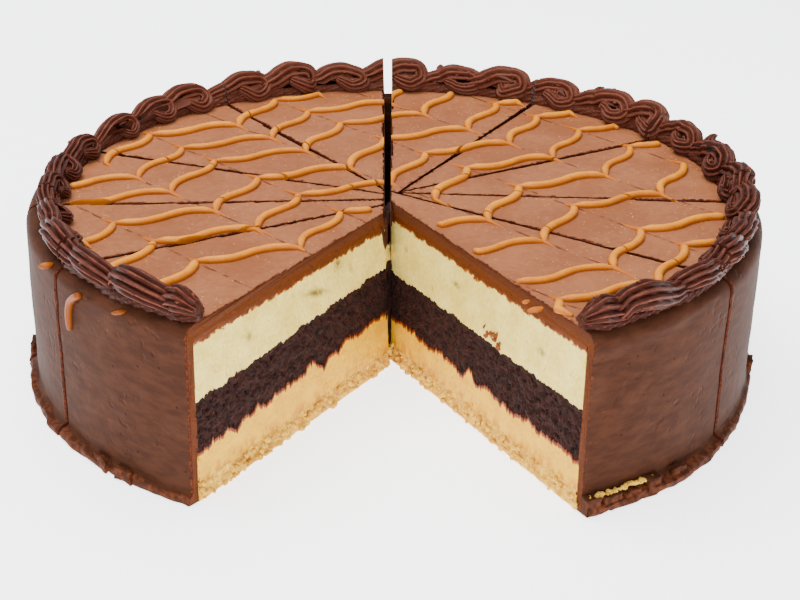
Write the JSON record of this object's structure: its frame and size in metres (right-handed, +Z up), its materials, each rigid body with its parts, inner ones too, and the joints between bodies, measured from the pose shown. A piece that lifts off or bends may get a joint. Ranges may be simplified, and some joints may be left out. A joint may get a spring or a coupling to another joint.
{
  "type": "layered chocolate caramel cheesecake",
  "caption": "Round layered cheesecake under chocolate ganache, cut into slices with a wide wedge gone, a piped rim and pulled caramel lines on top.",
  "frame": {"origin": "on the surface that the cake stands on, under the middle of its outline", "axes": "+Z up, the missing slices face -Y, +X to the right seen from the missing slices"},
  "size_m": [0.2588, 0.2433, 0.0727],
  "materials": {
    "biscuit_crust": "dry crumbly biscuit",
    "caramel_cheesecake": "smooth set cream, satin",
    "chocolate_sponge": "open dark crumb, matt",
    "vanilla_cheesecake": "smooth set cream, satin",
    "chocolate_ganache": "satin poured chocolate with caramel lines",
    "piped_chocolate": "satin piped chocolate with ridges"
  },
  "bodies": {
    "root": {"left_1_crust": "biscuit_crust", "left_1_caramel": "caramel_cheesecake", "left_1_sponge": "chocolate_sponge", "left_1_vanilla": "vanilla_cheesecake", "left_1_ganache": "chocolate_ganache", "left_1_border": "piped_chocolate", "left_2_crust": "biscuit_crust", "left_2_caramel": "caramel_cheesecake", "left_2_sponge": "chocolate_sponge", "left_2_vanilla": "vanilla_cheesecake", "left_2_ganache": "chocolate_ganache", "left_2_border": "piped_chocolate", "left_3_crust": "biscuit_crust", "left_3_caramel": "caramel_cheesecake", "left_3_sponge": "chocolate_sponge", "left_3_vanilla": "vanilla_cheesecake", "left_3_ganache": "chocolate_ganache", "left_3_border": "piped_chocolate", "left_4_crust": "biscuit_crust", "left_4_caramel": "caramel_cheesecake", "left_4_sponge": "chocolate_sponge", "left_4_vanilla": "vanilla_cheesecake", "left_4_ganache": "chocolate_ganache", "left_4_border": "piped_chocolate", "left_5_crust": "biscuit_crust", "left_5_caramel": "caramel_cheesecake", "left_5_sponge": "chocolate_sponge", "left_5_vanilla": "vanilla_cheesecake", "left_5_ganache": "chocolate_ganache", "left_5_border": "piped_chocolate", "right_1_crust": "biscuit_crust", "right_1_caramel": "caramel_cheesecake", "right_1_sponge": "chocolate_sponge", "right_1_vanilla": "vanilla_cheesecake", "right_1_ganache": "chocolate_ganache", "right_1_border": "piped_chocolate", "right_2_crust": "biscuit_crust", "right_2_caramel": "caramel_cheesecake", "right_2_sponge": "chocolate_sponge", "right_2_vanilla": "vanilla_cheesecake", "right_2_ganache": "chocolate_ganache", "right_2_border": "piped_chocolate", "right_3_crust": "biscuit_crust", "right_3_caramel": "caramel_cheesecake", "right_3_sponge": "chocolate_sponge", "right_3_vanilla": "vanilla_cheesecake", "right_3_ganache": "chocolate_ganache", "right_3_border": "piped_chocolate", "right_4_crust": "biscuit_crust", "right_4_caramel": "caramel_cheesecake", "right_4_sponge": "chocolate_sponge", "right_4_vanilla": "vanilla_cheesecake", "right_4_ganache": "chocolate_ganache", "right_4_border": "piped_chocolate", "right_5_crust": "biscuit_crust", "right_5_caramel": "caramel_cheesecake", "right_5_sponge": "chocolate_sponge", "right_5_vanilla": "vanilla_cheesecake", "right_5_ganache": "chocolate_ganache", "right_5_border": "piped_chocolate"}
  },
  "joints": []
}
